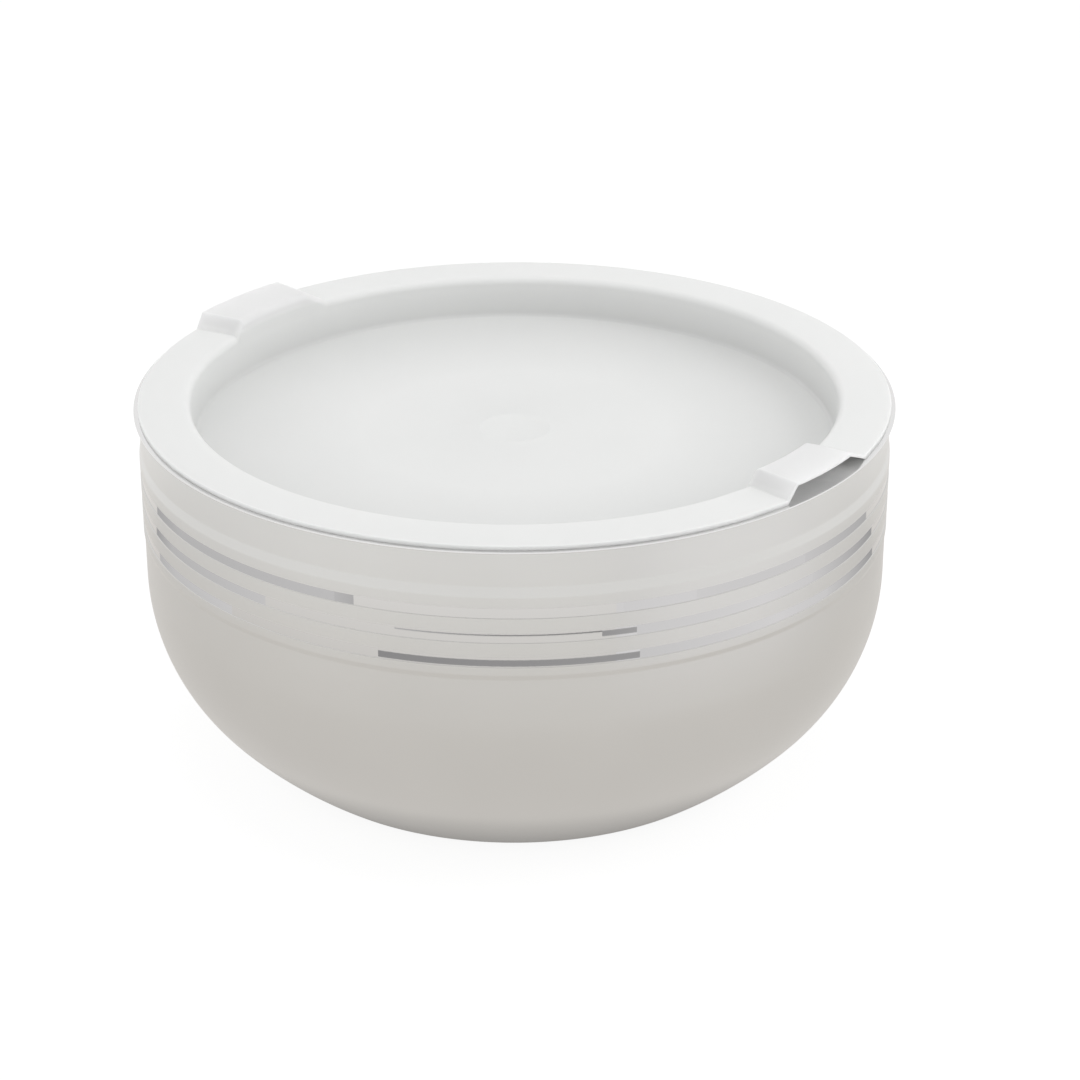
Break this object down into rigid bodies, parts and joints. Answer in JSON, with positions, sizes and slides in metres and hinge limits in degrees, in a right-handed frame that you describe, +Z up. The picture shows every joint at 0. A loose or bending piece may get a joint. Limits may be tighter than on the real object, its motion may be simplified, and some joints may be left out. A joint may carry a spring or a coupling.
{
  "type": "covered chilled serving bowl",
  "caption": "Round double-walled steel serving bowl with cooling gel between its walls, a turned belt under the rim and a white drop-in lid that lifts off by raised finger arches.",
  "frame": {"origin": "centre of the face that the foot ring stands on, on the bowl's axis", "axes": "+Z up along the bowl's axis, +X towards the smaller of the lid's two finger arches, -Y towards the steep ramps of both"},
  "size_m": [0.255, 0.255, 0.1314],
  "materials": {
    "outer_steel": "satin with mirror-bright grooves",
    "inner_steel": "satin, bright rim",
    "gel": "soft clear blue gel",
    "plug_rubber": "dull",
    "plate_steel": "circular brushed",
    "foot_rubber": "dull, non-slip",
    "lid_plastic": "smooth satin white"
  },
  "bodies": {
    "bowl": {"outer_shell": "outer_steel", "inner_bowl": "inner_steel", "cooling_gel": "gel", "fill_plug": "plug_rubber", "base_plate": "plate_steel", "foot_ring": "foot_rubber"},
    "lid": {"lid": "lid_plastic", "finger_arch_front": "lid_plastic", "finger_arch_back": "lid_plastic"}
  },
  "joints": [
    {"name": "lid_lift", "type": "slide", "parent": "bowl", "child": "lid", "axis": [0, 0, 1], "range_m": [0, 0.1]}
  ]
}
